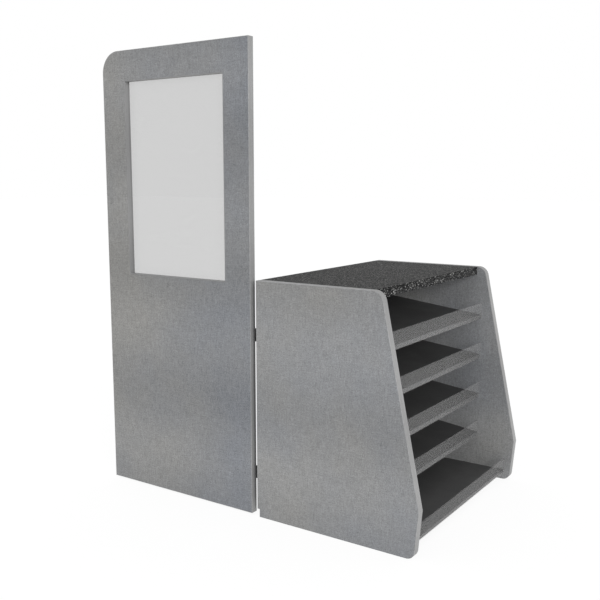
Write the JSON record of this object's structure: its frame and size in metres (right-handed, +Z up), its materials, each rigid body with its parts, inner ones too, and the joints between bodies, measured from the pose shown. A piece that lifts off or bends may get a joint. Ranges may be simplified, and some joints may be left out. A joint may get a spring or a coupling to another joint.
{
  "type": "checkout end display with swing gate",
  "caption": "Low sweets display for the end of a checkout, with sloping black shelves behind clear lips and a tall hinged gate panel with a window.",
  "frame": {"origin": "centre of the whole object's footprint, on the floor, with the gate closed in line with the near side panel", "axes": "+Z up; +X from the gate to the open front of the shelves; -Y faces the outer face of the near side panel and the gate's front"},
  "size_m": [1.3809, 0.9, 1.704],
  "materials": {
    "panel_laminate": "melamine-faced board, light grey with a fine woven mottle",
    "gate_laminate": "melamine-faced board, light grey with a fine woven mottle",
    "edging": "pale grey ABS edging strip",
    "worktop_laminate": "laminated board with a dark granite speckle",
    "shelf_board": "black faced board, matte",
    "lip_acrylic": "smoke-grey clear acrylic sheet",
    "pane_acrylic": "pale translucent acrylic sheet",
    "hinge_metal": "black powder coat",
    "fixing_steel": "black zinc plated",
    "washer_nylon": "natural nylon"
  },
  "bodies": {
    "unit": {"near_side_panel": "panel_laminate", "near_panel_edging": "edging", "far_side_panel": "panel_laminate", "far_panel_edging": "edging", "worktop": "worktop_laminate", "worktop_front_edging": "worktop_laminate", "back_panel": "panel_laminate", "shelf_1": "shelf_board", "shelf_2": "shelf_board", "shelf_3": "shelf_board", "shelf_4": "shelf_board", "bottom_shelf": "shelf_board", "lip_1": "lip_acrylic", "lip_2": "lip_acrylic", "lip_3": "lip_acrylic", "lip_4": "lip_acrylic", "bottom_lip": "lip_acrylic", "shelf_1_batten_near": "shelf_board", "shelf_1_batten_far": "shelf_board", "shelf_2_batten_near": "shelf_board", "shelf_2_batten_far": "shelf_board", "shelf_3_batten_near": "shelf_board", "shelf_3_batten_far": "shelf_board", "shelf_4_batten_near": "shelf_board", "shelf_4_batten_far": "shelf_board", "bottom_batten_near": "shelf_board", "bottom_batten_far": "shelf_board", "hinge_upper_panel_leaf": "hinge_metal", "hinge_upper_pin": "fixing_steel", "hinge_upper_washer": "washer_nylon", "hinge_upper_panel_screw_1": "fixing_steel", "hinge_upper_panel_screw_2": "fixing_steel", "hinge_lower_panel_leaf": "hinge_metal", "hinge_lower_pin": "fixing_steel", "hinge_lower_washer": "washer_nylon", "hinge_lower_panel_screw_1": "fixing_steel", "hinge_lower_panel_screw_2": "fixing_steel"},
    "gate": {"gate_panel": "gate_laminate", "gate_edging": "edging", "gate_window_edging": "edging", "gate_pane": "pane_acrylic", "hinge_upper_gate_leaf": "hinge_metal", "hinge_upper_gate_screw_1": "fixing_steel", "hinge_upper_gate_screw_2": "fixing_steel", "hinge_lower_gate_leaf": "hinge_metal", "hinge_lower_gate_screw_1": "fixing_steel", "hinge_lower_gate_screw_2": "fixing_steel"}
  },
  "joints": [
    {"name": "gate_swing", "type": "hinge", "parent": "unit", "child": "gate", "pos_m": [0.031, -0.42045, 0.4], "axis": [0, 0, 1], "range_deg": [-90, 42]}
  ]
}
